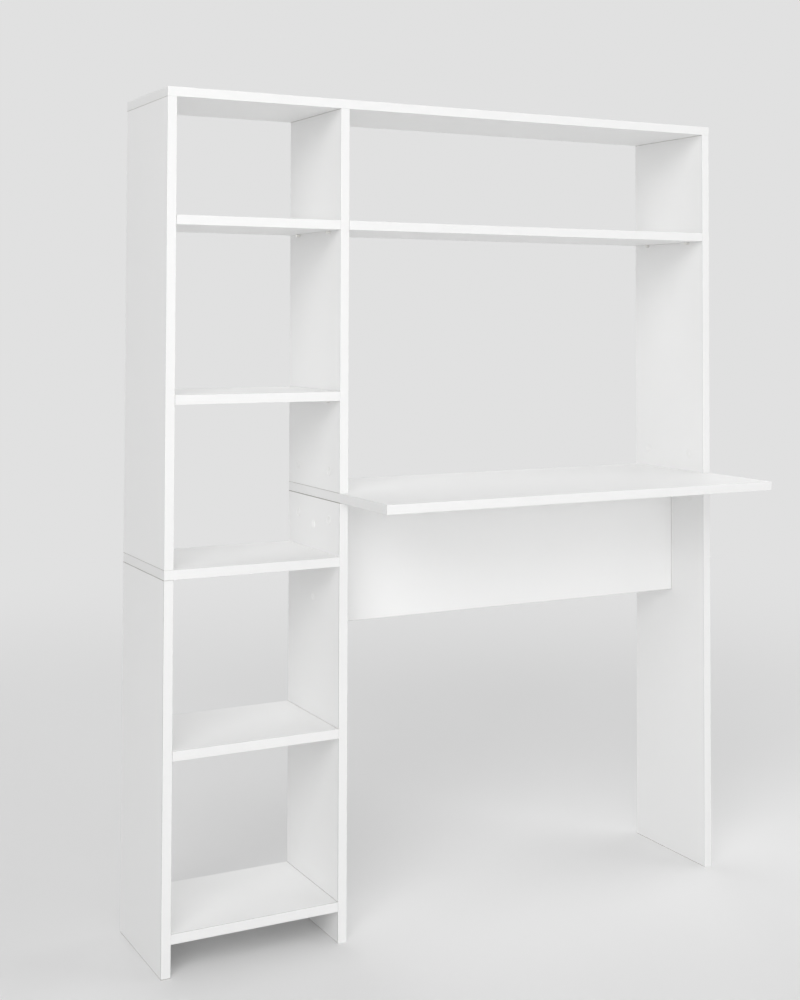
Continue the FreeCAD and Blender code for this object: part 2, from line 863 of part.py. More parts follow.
def place_supports():
    support = make_support()
    facing_right = turn_to(UPWARD, RIGHTWARD)
    facing_left = turn_to(UPWARD, LEFTWARD)
    column = (left_inner, partition_left)
    bay = (partition_right, right_inner)
    for name, (left, right), level in (
        ("upper_left_shelf_supports", column, upper_low),
        ("middle_left_shelf_supports", column, middle_low),
        ("lower_left_shelf_supports", column, lower_low),
        ("upper_right_shelf_supports", bay, upper_low),
    ):
        placings = []
        z = level - pin_axis
        for y in rows:
            placings += [((left, y, z), facing_right), ((right, y, z), facing_left)]
        keep_copies(name, support, placings)


# Checks and files

def check_document():
    """Stop if any object has failed, any cut removes nothing or any node is unsound."""
    for item in document.Objects:
        if "Invalid" in item.State or "Error" in item.State:
            raise RuntimeError(f"{item.Name} failed: {item.State}")
    for cut in cuts:
        if cut.Shape.Volume >= cut.BaseFeature.Shape.Volume:
            raise RuntimeError(f"{cut.Name} removes nothing")
    for node in nodes:
        if node.Shape.isNull() or not node.Shape.isValid():
            raise RuntimeError(f"{node.Label} has no sound shape")


def write_files():
    os.makedirs("parts", exist_ok=True)
    for node in nodes:
        node.Shape.exportStep(f"parts/{node.Label}.step")
        print(node.Label, len(node.Shape.Solids), "solids", round(node.Shape.Volume), "mm3")


make_top_panel()
make_upper_left_side()
make_lower_left_side()
make_upper_partition()
make_lower_partition()
make_upper_right_side()
make_lower_right_side()
make_desktop()
make_modesty_panel()
make_tie_shelf()
make_bottom_shelf()
make_loose_shelves()
place_cams()
place_bolts()
place_dowels()
place_screws()
place_supports()
document.recompute()
check_document()
write_files()
print(len(nodes), "nodes")
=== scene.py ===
import logging
import math
from collections.abc import Iterable, Sequence
from dataclasses import dataclass
from enum import Enum, IntEnum
from typing import Any

import bmesh
import bpy
from bmesh.types import BMEdge, BMesh, BMVert
from bpy.types import Material, Node, NodeSocket, NodeTree
from mathutils import Matrix, Vector


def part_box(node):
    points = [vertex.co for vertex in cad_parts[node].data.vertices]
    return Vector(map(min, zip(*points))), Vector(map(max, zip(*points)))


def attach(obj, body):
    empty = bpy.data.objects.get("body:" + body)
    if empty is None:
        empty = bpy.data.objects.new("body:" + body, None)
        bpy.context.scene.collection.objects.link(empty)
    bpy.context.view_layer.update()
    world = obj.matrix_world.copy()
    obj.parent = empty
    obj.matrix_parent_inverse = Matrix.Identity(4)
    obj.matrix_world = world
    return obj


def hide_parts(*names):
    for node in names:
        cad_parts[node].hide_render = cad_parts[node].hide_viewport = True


# A white writing desk with a shelf unit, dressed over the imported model. Lengths are in metres.

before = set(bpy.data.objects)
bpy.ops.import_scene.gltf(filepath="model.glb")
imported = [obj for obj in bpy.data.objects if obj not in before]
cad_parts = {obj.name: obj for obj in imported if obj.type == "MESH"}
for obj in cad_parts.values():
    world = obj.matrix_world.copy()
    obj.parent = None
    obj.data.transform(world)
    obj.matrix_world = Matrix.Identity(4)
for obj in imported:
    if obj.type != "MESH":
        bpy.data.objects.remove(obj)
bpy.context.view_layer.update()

Triple = tuple[float, float, float]
Colour = tuple[float, float, float]

# The digits that a line's level keeps, and how near points are merged in a solid and at a pole
LEVEL_DIGITS = 5
SOLID_MERGE = 1e-6
POLE_MERGE = 1e-7

log = logging.getLogger("writing_desk")


class Axis(IntEnum):
    """One of the frame's axes, by its index in a point."""

    X = 0
    Y = 1
    Z = 2


class End(Enum):
    """One end of a piece along an axis, by its index in the piece's box."""

    LOW = 0
    HIGH = 1


class Curve(Enum):
    """How a value rises over a range, by the node's name for it."""

    SMOOTH = "SMOOTHSTEP"
    SMOOTHER = "SMOOTHERSTEP"


class Facing(Enum):
    """The way that a fitting's outer face looks."""

    LEFT = (-1.0, 0.0, 0.0)
    RIGHT = (1.0, 0.0, 0.0)
    UP = (0.0, 0.0, 1.0)
    DOWN = (0.0, 0.0, -1.0)

    @property
    def vector(self) -> Vector:
        """The unit vector of this direction."""
        return Vector(self.value)

    @property
    def turn(self) -> Matrix:
        """The rotation that takes +Z to this direction."""
        return self.vector.to_track_quat("Z", "Y").to_matrix().to_4x4()


# Materials


@dataclass(frozen=True)
class Grain:
    """A noise's look: the size of its patches and how many finer layers lie on them."""

    size: float
    layers: float = 2.0


@dataclass(frozen=True)
class Seam:
    """A thin line round a piece, square to one axis."""

    axis: int
    level: float
    half_width: float
    colour: Colour


def along(axis: int, share: float) -> Triple:
    """Draw a pattern out along one axis.

    Args:
        axis: The axis's index.
        share: How fine the pattern is along it, compared with the other two.

    Returns:
        How fine the pattern is along each axis.
    """
    return tuple(share if index == axis else 1.0 for index in Axis)


class Nodes:
    """A node tree whose nodes are added and wired one at a time."""

    mix_inputs: tuple[int, int] = (6, 7)
    mix_output: int = 2

    def __init__(self, tree: NodeTree) -> None:
        """Start with the nodes that a tree has.

        Args:
            tree: The tree.
        """
        self.nodes = tree.nodes
        self.links = tree.links

    def add(self, kind: str, **settings: Any) -> Node:
        """Add a node.

        Args:
            kind: The node's type name.
            **settings: Properties to set on it.

        Returns:
            The new node.
        """
        node = self.nodes.new(kind)
        for key, value in settings.items():
            setattr(node, key, value)
        return node

    def wire(self, source: NodeSocket, target: NodeSocket) -> None:
        """Link one socket to another."""
        self.links.new(source, target)

    def math(self, operation: str, *terms: NodeSocket | float) -> NodeSocket:
        """Add a math node.

        Args:
            operation: The node's operation.
            *terms: A socket or a number for each of its inputs.

        Returns:
            Its result.
        """
        node = self.add("ShaderNodeMath", operation=operation)
        for socket, term in zip(node.inputs, terms):
            if isinstance(term, NodeSocket):
                self.wire(term, socket)
            else:
                socket.default_value = term
        return node.outputs[0]

    def blend(
        self, share: NodeSocket, first: NodeSocket | Colour, second: NodeSocket | Colour,
    ) -> NodeSocket:
        """Mix two colours.

        Args:
            share: How much of the second colour shows.
            first: A colour or a socket that gives one.
            second: A colour or a socket that gives one.

        Returns:
            The mixed colour.
        """
        node = self.add("ShaderNodeMix", data_type="RGBA")
        self.wire(share, node.inputs["Factor"])
        for index, colour in zip(self.mix_inputs, (first, second)):
            if isinstance(colour, NodeSocket):
                self.wire(colour, node.inputs[index])
            else:
                node.inputs[index].default_value = (*colour, 1.0)
        return node.outputs[self.mix_output]

    def ramp(self, value: NodeSocket, start: float, end: float, curve: Curve) -> NodeSocket:
        """Let a value rise smoothly from 0 to 1 over a range.

        Args:
            value: The value.
            start: What becomes 0.
            end: What becomes 1.
            curve: How it rises.

        Returns:
            The risen value.
        """
        node = self.add("ShaderNodeMapRange", interpolation_type=curve.value)
        node.inputs["From Min"].default_value = start
        node.inputs["From Max"].default_value = end
        self.wire(value, node.inputs["Value"])
        return node.outputs["Result"]

    def seen(self) -> NodeSocket:
        """Tell the rays that see the backdrop from those that carry light.

        Returns:
            1 for a ray from the camera or from a reflection, and 0 for the others.
        """
        rays = self.add("ShaderNodeLightPath")
        total = rays.outputs["Is Camera Ray"]
        for name in ("Is Glossy Ray", "Is Transmission Ray"):
            total = self.math("MAXIMUM", total, rays.outputs[name])
        return total

    def send_out(self, share: NodeSocket, first: Node, second: Node, output: str) -> None:
        """Mix two shaders and send them to the tree's output.

        Args:
            share: How much of the second shader shows.
            first: A shader's node.
            second: A shader's node.
            output: The name of the output's node.
        """
        mix = self.add("ShaderNodeMixShader")
        for source, socket in zip((share, first.outputs[0], second.outputs[0]), mix.inputs):
            self.wire(source, socket)
        self.wire(mix.outputs[0], self.nodes[output].inputs["Surface"])


class Recipe(Nodes):
    """A material whose patterns lie on the piece's own coordinates."""

    def __init__(self, name: str) -> None:
        """Start a material with its surface shader and the piece's coordinates.

        Args:
            name: The material's name.
        """
        self.material = bpy.data.materials.new(name)
        self.material.use_nodes = True
        super().__init__(self.material.node_tree)
        self.shader = self.nodes["Principled BSDF"]
        self.place = self.add("ShaderNodeTexCoord").outputs["Object"]
        self.axes = self.add("ShaderNodeSeparateXYZ")
        self.wire(self.place, self.axes.inputs[0])

    def noise(self, grain: Grain, stretch: Triple = (1.0, 1.0, 1.0)) -> NodeSocket:
        """Add noise.

        Args:
            grain: The noise's look.
            stretch: How fine it is along each axis.

        Returns:
            The noise's value, from 0 to 1.
        """
        mapping = self.add("ShaderNodeMapping")
        mapping.inputs["Scale"].default_value = stretch
        self.wire(self.place, mapping.inputs["Vector"])
        node = self.add("ShaderNodeTexNoise")
        node.inputs["Scale"].default_value = 1.0 / grain.size
        node.inputs["Detail"].default_value = grain.layers
        self.wire(mapping.outputs[0], node.inputs["Vector"])
        return node.outputs["Fac"]

    def between(self, value: NodeSocket, low: float, high: float) -> NodeSocket:
        """Spread a value from 0 to 1 over a range.

        Args:
            value: The value.
            low: What 0 becomes.
            high: What 1 becomes.

        Returns:
            The spread value.
        """
        node = self.add("ShaderNodeMapRange")
        node.inputs["To Min"].default_value = low
        node.inputs["To Max"].default_value = high
        self.wire(value, node.inputs["Value"])
        return node.outputs["Result"]

    def lines(self, colour: NodeSocket, seams: Sequence[Seam]) -> NodeSocket:
        """Draw thin lines over a colour.

        Args:
            colour: The colour under the lines.
            seams: Where each line is, how wide, and its own colour.

        Returns:
            The colour with the lines.
        """
        for seam in seams:
            offset = self.math("SUBTRACT", self.axes.outputs[seam.axis], seam.level)
            line = self.math("LESS_THAN", self.math("ABSOLUTE", offset), seam.half_width)
            colour = self.blend(line, colour, seam.colour)
        return colour

    def bump(self, height: NodeSocket, depth: float, under: NodeSocket | None = None) -> NodeSocket:
        """Add relief to the surface.

        Args:
            height: The height, from 0 to 1.
            depth: How deep a height of 1 is, in metres.
            under: The relief that this one lies on.

        Returns:
            The new normal.
        """
        node = self.add("ShaderNodeBump")
        node.inputs["Distance"].default_value = depth
        self.wire(height, node.inputs["Height"])
        if under is not None:
            self.wire(under, node.inputs["Normal"])
        return node.outputs["Normal"]

    def give(self, **inputs: NodeSocket | float) -> Material:
        """Set or wire the shader's inputs.

        Args:
            **inputs: Each input's name with _ for a space, and its value or source.

        Returns:
            The finished material.
        """
        for key, value in inputs.items():
            socket = self.shader.inputs[key.replace("_", " ")]
            if isinstance(value, NodeSocket):
                self.wire(value, socket)
            else:
                socket.default_value = value
        return self.material


@dataclass(frozen=True)
class CoatedBoard:
    """White melamine paper on particleboard, with raw chips on the cut ends at the floor."""

    white: Colour = (0.888, 0.888, 0.885)
    shade: Colour = (0.873, 0.874, 0.871)
    clouds: Grain = Grain(0.22, 3.0)
    chip_dark: Colour = (0.27, 0.18, 0.1)
    chip_light: Colour = (0.56, 0.42, 0.26)
    chips: Grain = Grain(0.0016, 4.0)
    raw_height: float = 0.00005
    pearl: Grain = Grain(0.0009, 1.0)
    pearl_depth: float = 0.000012
    waves: Grain = Grain(0.012, 1.0)
    wave_depth: float = 0.00002
    wiped: Grain = Grain(0.05)
    roughness: tuple[float, float] = (0.42, 0.52)
    ior: float = 1.5

    def make(self, name: str, seams: Sequence[Seam]) -> Material:
        """Make the material for boards that have their seams at the same levels.

        Args:
            name: The material's name.
            seams: The glue lines beside the edging, the bare arrises darkened with painted shade, and the
                painted shade lines at the ends.

        Returns:
            The material.
        """
        recipe = Recipe(name)
        paper = recipe.blend(recipe.noise(self.clouds), self.white, self.shade)
        chips = recipe.blend(recipe.noise(self.chips), self.chip_dark, self.chip_light)
        raw = recipe.math("LESS_THAN", recipe.axes.outputs[Axis.Z], self.raw_height)
        waves = recipe.bump(recipe.noise(self.waves), self.wave_depth)
        return recipe.give(
            Base_Color=recipe.blend(raw, recipe.lines(paper, seams), chips),
            Roughness=recipe.between(recipe.noise(self.wiped), *self.roughness),
            Normal=recipe.bump(recipe.noise(self.pearl), self.pearl_depth, waves),
            IOR=self.ior,
        )


@dataclass(frozen=True)
class EdgeBand:
    """White plastic edging, smoother than the board, with fine lines from its rollers."""

    white: Colour = (0.832, 0.832, 0.829)
    shade: Colour = (0.819, 0.819, 0.816)
    clouds: Grain = Grain(0.15)
    rolled: Grain = Grain(0.0006)
    rolled_share: float = 0.04
    rolled_depth: float = 0.000008
    wiped: Grain = Grain(0.03)
    roughness: tuple[float, float] = (0.28, 0.38)
    ior: float = 1.52

    def make(self, name: str, run: int, seams: Sequence[Seam]) -> Material:
        """Make the material for strips that run along one axis and have the same lines at their ends.

        Args:
            name: The material's name.
            run: The index of the axis that the strips run along.
            seams: The painted shade lines where the strips end.

        Returns:
            The material.
        """
        recipe = Recipe(name)
        plastic = recipe.blend(recipe.noise(self.clouds), self.white, self.shade)
        rolled = recipe.noise(self.rolled, along(run, self.rolled_share))
        return recipe.give(
            Base_Color=recipe.lines(plastic, seams),
            Roughness=recipe.between(recipe.noise(self.wiped), *self.roughness),
            Normal=recipe.bump(rolled, self.rolled_depth),
            IOR=self.ior,
        )


@dataclass(frozen=True)
class MouldedPlastic:
    """Moulded plastic with a fine spark-eroded skin."""

    light: Colour
    dark: Colour
    clouds: Grain = Grain(0.006)
    wiped: Grain = Grain(0.004)
    roughness: tuple[float, float] = (0.34, 0.44)
    skin: Grain = Grain(0.0005)
    skin_depth: float = 0.00001
    ior: float = 1.49

    def make(self, name: str) -> Material:
        """Make the material.

        Args:
            name: The material's name.

        Returns:
            The material.
        """
        recipe = Recipe(name)
        return recipe.give(
            Base_Color=recipe.blend(recipe.noise(self.clouds), self.light, self.dark),
            Roughness=recipe.between(recipe.noise(self.wiped), *self.roughness),
            Normal=recipe.bump(recipe.noise(self.skin), self.skin_depth),
            IOR=self.ior,
        )


@dataclass(frozen=True)
class PlatedMetal:
    """Plated or cast metal with faint streaks and a slightly uneven skin."""

    light: Colour
    dark: Colour
    clouds: Grain = Grain(0.003, 3.0)
    streaks: Grain = Grain(0.0004)
    streak_share: float = 0.1
    roughness: tuple[float, float] = (0.24, 0.38)
    skin: Grain = Grain(0.0012)
    skin_depth: float = 0.000015

    def make(self, name: str) -> Material:
        """Make the material.

        Args:
            name: The material's name.

        Returns:
            The material.
        """
        recipe = Recipe(name)
        streaks = recipe.noise(self.streaks, along(Axis.Z, self.streak_share))
        return recipe.give(
            Base_Color=recipe.blend(recipe.noise(self.clouds), self.light, self.dark),
            Roughness=recipe.between(streaks, *self.roughness),
            Normal=recipe.bump(recipe.noise(self.skin), self.skin_depth),
            Metallic=1.0,
        )


@dataclass(frozen=True)
class Beech:
    """Turned beech with short dark flecks along the grain."""

    light: Colour = (0.66, 0.47, 0.28)
    dark: Colour = (0.47, 0.3, 0.16)
    flecks: Grain = Grain(0.0007, 3.0)
    fleck_share: float = 0.12
    fleck_depth: float = 0.00004
    roughness: tuple[float, float] = (0.55, 0.7)

    def make(self, name: str, run: int) -> Material:
        """Make the material for dowels that lie along one axis.

        Args:
            name: The material's name.
            run: The index of the axis that the grain follows.

        Returns:
            The material.
        """
        recipe = Recipe(name)
        flecks = recipe.noise(self.flecks, along(run, self.fleck_share))
        return recipe.give(
            Base_Color=recipe.blend(flecks, self.light, self.dark),
            Roughness=recipe.between(flecks, *self.roughness),
            Normal=recipe.bump(flecks, self.fleck_depth),
        )


CAM_CAP = MouldedPlastic(light=(0.88, 0.88, 0.87), dark=(0.86, 0.86, 0.855))
SCREW_CAP = MouldedPlastic(light=(0.95, 0.95, 0.94), dark=(0.93, 0.93, 0.925))
NICKEL = PlatedMetal(light=(0.9, 0.89, 0.87), dark=(0.8, 0.79, 0.77), roughness=(0.35, 0.5))
ZINC = PlatedMetal(light=(0.62, 0.64, 0.67), dark=(0.48, 0.5, 0.54), roughness=(0.3, 0.45))
CAST_ZINC = PlatedMetal(
    light=(0.52, 0.52, 0.51), dark=(0.4, 0.4, 0.4), roughness=(0.42, 0.6), skin_depth=0.00004,
)

# Painted shade lines where board ends meet, standing for the shadow in a gap: darkest for an open gap,
# faintest for a close joint
OPEN_GAP_SHADE: Colour = (0.18, 0.16, 0.13)
TIGHT_GAP_SHADE: Colour = (0.2, 0.18, 0.15)
SOFT_GAP_SHADE: Colour = (0.3, 0.28, 0.25)
FAINT_GAP_SHADE: Colour = (0.4, 0.39, 0.37)


# Making meshes


@dataclass(frozen=True)
class Spot:
    """The box of one solid of a CAD node."""

    low: Vector
    high: Vector

    @property
    def centre(self) -> Vector:
        """The middle of the box."""
        return (self.low + self.high) / 2

    @property
    def longest(self) -> int:
        """The index of the axis along which the box is longest."""
        spans = self.high - self.low
        return max(Axis, key=lambda axis: spans[axis])

    @property
    def side(self) -> Facing:
        """The way to the desk's nearer side."""
        return Facing.LEFT if self.centre.x < 0.0 else Facing.RIGHT

    def outer(self, facing: Facing) -> Vector:
        """The middle of the box's side that looks in a direction."""
        reach = (self.high - self.low) / 2
        return self.centre + Vector(part * span for part, span in zip(facing.vector, reach))


def solids_of(node: str) -> list[Spot]:
    """Find the solids of a CAD node.

    Args:
        node: The node's name.

    Returns:
        The box of each solid, in the order of their places.
    """
    shape = bmesh.new()
    shape.from_mesh(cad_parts[node].data)
    bmesh.ops.remove_doubles(shape, verts=shape.verts, dist=SOLID_MERGE)
    waiting = set(shape.verts)
    spots = []
    while waiting:
        reached = [waiting.pop()]
        for corner in reached:
            for edge in corner.link_edges:
                other = edge.other_vert(corner)
                if other in waiting:
                    waiting.discard(other)
                    reached.append(other)
        low = Vector(min(corner.co[axis] for corner in reached) for axis in Axis)
        high = Vector(max(corner.co[axis] for corner in reached) for axis in Axis)
        spots.append(Spot(low, high))
    shape.free()
    return sorted(spots, key=lambda spot: tuple(round(part, LEVEL_DIGITS) for part in spot.centre))


def places_of(node: str, facing: Facing | None) -> list[Matrix]:
    """Find where a node's fittings go, for a pattern whose top is at the origin and looks along +Z.

    Args:
        node: The node's name.
        facing: The way that the fittings look, or None where each looks to the desk's nearer side.

    Returns:
        The rotation and place of each fitting.
    """
    looks = [(spot, facing or spot.side) for spot in solids_of(node)]
    return [Matrix.Translation(spot.outer(look)) @ look.turn for spot, look in looks]


def only(items: Iterable[Any], kind: type) -> list[Any]:
    """Pick the items of one kind from what an operator gives back."""
    return [item for item in items if isinstance(item, kind)]


def turned(profile: Sequence[tuple[float, float]], steps: int) -> BMesh:
    """Turn a profile once about Z.

    Args:
        profile: The radius and the height of each of its points.
        steps: How many sides the turned shape has.

    Returns:
        The turned shape.
    """
    shape = bmesh.new()
    points = [shape.verts.new((radius, 0.0, height)) for radius, height in profile]
    lines = [shape.edges.new(pair) for pair in zip(points, points[1:])]
    bmesh.ops.spin(
        shape, geom=points + lines, cent=(0, 0, 0), axis=(0, 0, 1), dvec=(0, 0, 0),
        angle=math.tau, steps=steps, use_merge=True,
    )
    bmesh.ops.remove_doubles(shape, verts=shape.verts, dist=POLE_MERGE)
    bmesh.ops.recalc_face_normals(shape, faces=shape.faces)
    return shape


def add_shape(target: BMesh, part: BMesh, place: Matrix) -> None:
    """Add a placed copy of one shape to another.

    Args:
        target: The shape that grows.
        part: The shape that is copied.
        place: The copy's rotation and place.
    """
    scratch = bpy.data.meshes.new("scratch")
    part.to_mesh(scratch)
    scratch.transform(place)
    target.from_mesh(scratch)
    bpy.data.meshes.remove(scratch)


def join(target: BMesh, part: BMesh) -> BMesh:
    """Move one shape into another.

    Args:
        target: The shape that grows.
        part: The shape that is used up.

    Returns:
        The shape that has both.
    """
    add_shape(target, part, Matrix.Identity(4))
    part.free()
    return target


@dataclass(frozen=True)
class Piece:
    """A finished piece of hardware that stands for one CAD node."""

    name: str
    node: str
    slot: str
    sharp_angle: float = 35.0

    def finish(self, shape: BMesh, material: Material) -> None:
        """Turn a shape into the piece's object, riding on the desk.

        Args:
            shape: The whole shape, in its place, used up by this call.
            material: Its material.
        """
        mesh = bpy.data.meshes.new(self.name)
        shape.to_mesh(mesh)
        shape.free()
        mesh.shade_smooth()
        mesh.set_sharp_from_angle(angle=math.radians(self.sharp_angle))
        mesh.materials.append(material)
        piece = bpy.data.objects.new(self.name, mesh)
        bpy.context.scene.collection.objects.link(piece)
        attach(piece, "root")
        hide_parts(self.node)
        log.info("%s: %d faces, for %s", self.name, len(mesh.polygons), self.node)


def stamp(piece: Piece, pattern: BMesh, places: Iterable[Matrix], material: Material) -> None:
    """Make a piece of copies of one pattern.

    Args:
        piece: The piece's names.
        pattern: The shape at the origin, used up by this call.
        places: The rotation and place of each copy.
        material: The piece's material.
    """
    whole = bmesh.new()
    for place in places:
        add_shape(whole, pattern, place)
    pattern.free()
    piece.finish(whole, material)


def dress_node(node: str, material: Material) -> None:
    """Give a CAD node that stays a new material.

    Args:
        node: The node's name.
        material: The material.
    """
    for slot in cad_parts[node].material_slots:
        slot.material = material
    log.info("%s: dressed in %s", node, material.name)


# The desk's sub-assemblies


@dataclass(frozen=True)
class EndShadeLine:
    """A thin line of painted shade where one end of a board or strip meets its neighbour, standing for the
    shadow in the joint.
    """

    node: str
    axis: Axis
    end: End
    half_width: float
    colour: Colour

    def seam(self) -> Seam:
        """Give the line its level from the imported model.

        Returns:
            The seam.
        """
        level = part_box(self.node)[self.end.value][self.axis]
        return Seam(self.axis, round(level, LEVEL_DIGITS), self.half_width, self.colour)


@dataclass
class Boards:
    """The coated boards and their edging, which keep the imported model's shapes."""

    flat: tuple[str, ...] = (
        "top_panel", "desktop", "modesty_panel", "tie_shelf", "bottom_shelf",
        "upper_left_shelf", "middle_left_shelf", "lower_left_shelf", "upper_right_shelf",
    )
    upright: tuple[str, ...] = (
        "upper_left_side", "lower_left_side", "upper_partition", "lower_partition",
        "upper_right_side", "lower_right_side",
    )
    least_step: float = 0.0001
    glue_half_width: float = 0.0002
    wide_glue_half_width: float = 0.0007
    wide_glue_boards: tuple[str, ...] = ("lower_left_side", "lower_partition", "bottom_shelf")
    glue_colour: Colour = (0.2, 0.19, 0.17)
    # The lines at the uprights' cut ends: raw chipped core, darkened further with painted shade of the
    # joint
    arris_shade_half_width: float = 0.00045
    arris_shade_colour: Colour = (0.18, 0.16, 0.13)
    closed_foot: str = "upper_right_side"
    # Painted shade lines at board joints and at the edging's foot, standing for the shadow in the gaps
    # between parts
    end_shade_lines: tuple[EndShadeLine, ...] = (
        EndShadeLine("lower_partition", Axis.Z, End.HIGH, 0.0008, OPEN_GAP_SHADE),
        EndShadeLine("lower_partition_edging", Axis.Z, End.HIGH, 0.0008, OPEN_GAP_SHADE),
        EndShadeLine("lower_right_side", Axis.Z, End.HIGH, 0.0008, OPEN_GAP_SHADE),
        EndShadeLine("lower_left_side_edging", Axis.Z, End.LOW, 0.0006, OPEN_GAP_SHADE),
        EndShadeLine("lower_left_side_edging", Axis.Z, End.HIGH, 0.0002, FAINT_GAP_SHADE),
        EndShadeLine("upper_left_side_edging", Axis.Z, End.LOW, 0.0002, FAINT_GAP_SHADE),
        EndShadeLine("bottom_shelf", Axis.X, End.HIGH, 0.0006, TIGHT_GAP_SHADE),
        EndShadeLine("bottom_shelf_edging", Axis.X, End.HIGH, 0.0003, FAINT_GAP_SHADE),
        EndShadeLine("lower_left_shelf", Axis.X, End.HIGH, 0.00045, SOFT_GAP_SHADE),
        EndShadeLine("middle_left_shelf", Axis.X, End.HIGH, 0.0002, FAINT_GAP_SHADE),
        EndShadeLine("modesty_panel", Axis.X, End.HIGH, 0.0004, TIGHT_GAP_SHADE),
        EndShadeLine("upper_right_shelf", Axis.X, End.HIGH, 0.0003, SOFT_GAP_SHADE),
    )

    def glue_lines(self, name: str) -> list[Seam]:
        """Find where a board meets its edging.

        Args:
            name: The board's name.

        Returns:
            A seam for each side of the board that has edging.
        """
        low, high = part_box(name)
        strip_low, strip_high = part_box(f"{name}_edging")
        half_width = self.wide_glue_half_width if name in self.wide_glue_boards else self.glue_half_width
        found = []
        for axis in Axis:
            below, above = low[axis] - strip_low[axis], strip_high[axis] - high[axis]
            for level, step in ((low[axis], below), (high[axis], above)):
                if step > self.least_step:
                    found.append(Seam(axis, round(level, LEVEL_DIGITS), half_width, self.glue_colour))
        return found

    def shaded_arrises(self, name: str) -> list[Seam]:
        """Find the lines at an upright board's cut ends, where the bare arris shows raw core darkened with
        painted joint shade.

        Args:
            name: The board's name.

        Returns:
            A seam for its lower end, unless its foot stands close, and one for its upper end.
        """
        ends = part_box(name)
        shown = ends[1:] if name == self.closed_foot else ends
        levels = [round(end[Axis.Z], LEVEL_DIGITS) for end in shown]
        return [Seam(Axis.Z, level, self.arris_shade_half_width, self.arris_shade_colour) for level in levels]

    def ends(self, node: str) -> list[Seam]:
        """Find the painted shade lines at the ends of a board or strip that have lines of their own."""
        return [line.seam() for line in self.end_shade_lines if line.node == node]

    def dress(self) -> None:
        """Give every board and strip of edging its material."""
        coats: dict[tuple[Seam, ...], Material] = {}
        bands: dict[tuple[int, tuple[Seam, ...]], Material] = {}
        for name in (*self.flat, *self.upright):
            seams = self.glue_lines(name)
            if name in self.upright:
                seams += self.shaded_arrises(name)
            coat = (*seams, *self.ends(name))
            if coat not in coats:
                coats[coat] = CoatedBoard().make(f"coated_board_{len(coats) + 1}", coat)
            dress_node(name, coats[coat])
            run = Spot(*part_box(f"{name}_edging")).longest
            band = (run, tuple(self.ends(f"{name}_edging")))
            if band not in bands:
                bands[band] = EdgeBand().make(f"edge_band_{len(bands) + 1}", *band)
            dress_node(f"{name}_edging", bands[band])


@dataclass
class CamCaps:
    """The flat caps over the cams, with a thin lip round a slightly sunk middle."""

    radius: float = 0.008
    rise: float = 0.0005
    slope: float = 0.0006
    shoulder: float = 0.0002
    lip: float = 0.0003
    wall: float = 0.0001
    sunk: float = 0.00038
    mark_radius: float = 0.0008
    mark_mouth: float = 0.00104
    mark_depth: float = 0.00008
    plug_radius: float = 0.0009
    plug_depth: float = 0.00135
    steps: int = 64
    groups: tuple[tuple[str, Facing], ...] = (
        ("left_tie_cam_caps", Facing.RIGHT),
        ("partition_desk_cam_caps", Facing.LEFT),
        ("right_desk_cam_caps", Facing.LEFT),
        ("column_shelf_cam_caps", Facing.DOWN),
    )

    def pattern(self) -> BMesh:
        """Make one cap whose top is at the origin and looks along +Z.

        Returns:
            The cap's shape.
        """
        lip_outer = self.radius - self.slope
        lip_inner = lip_outer - self.lip
        profile = [
            (0.0, -self.sunk - self.mark_depth),
            (self.mark_radius, -self.sunk - self.mark_depth),
            (self.mark_mouth, -self.sunk),
            (lip_inner - self.wall, -self.sunk),
            (lip_inner, 0.0),
            (lip_outer, 0.0),
            (self.radius - self.shoulder, -self.rise / 2),
            (self.radius, -self.rise),
            (self.plug_radius, -self.rise),
            (self.plug_radius, -self.rise - self.plug_depth),
            (0.0, -self.rise - self.plug_depth),
        ]
        return turned(profile, self.steps)

    def build(self) -> None:
        """Make the caps of every group of cams."""
        material = CAM_CAP.make("cam_cap_plastic")
        for node, facing in self.groups:
            stamp(Piece(f"{node}_moulded", node, "cap"), self.pattern(), places_of(node, facing), material)


@dataclass
class ScrewCaps:
    """The domed caps over the assembly screws, each with a six-sided plug."""

    radius: float = 0.0065
    rise: float = 0.0008
    edge: float = 0.0003
    plug_flats: float = 0.0036
    plug_depth: float = 0.0027
    steps: int = 48
    dome_steps: int = 7
    groups: tuple[tuple[str, Facing | None], ...] = (
        ("top_panel_screw_caps", Facing.UP),
        ("modesty_screw_caps", None),
    )

    def pattern(self) -> BMesh:
        """Make one cap whose top is at the origin and looks along +Z.

        Returns:
            The cap's shape.
        """
        turns = [math.pi / 2 * step / self.dome_steps for step in range(self.dome_steps + 1)]
        drop = self.rise - self.edge
        dome = [(self.radius * math.sin(turn), drop * (math.cos(turn) - 1.0)) for turn in turns]
        shape = turned([*dome, (self.radius, -self.rise), (0.0, -self.rise)], self.steps)
        plug = bmesh.new()
        corner = self.plug_flats / math.sqrt(3.0)
        below = Matrix.Translation((0.0, 0.0, -self.rise - self.plug_depth / 2))
        bmesh.ops.create_cone(
            plug, cap_ends=True, segments=6, radius1=corner, radius2=corner,
            depth=self.plug_depth, matrix=below,
        )
        return join(shape, plug)

    def build(self) -> None:
        """Make the caps on the top panel and over the modesty panel's screws."""
        material = SCREW_CAP.make("screw_cap_plastic")
        for node, facing in self.groups:
            stamp(Piece(f"{node}_moulded", node, "cap"), self.pattern(), places_of(node, facing), material)


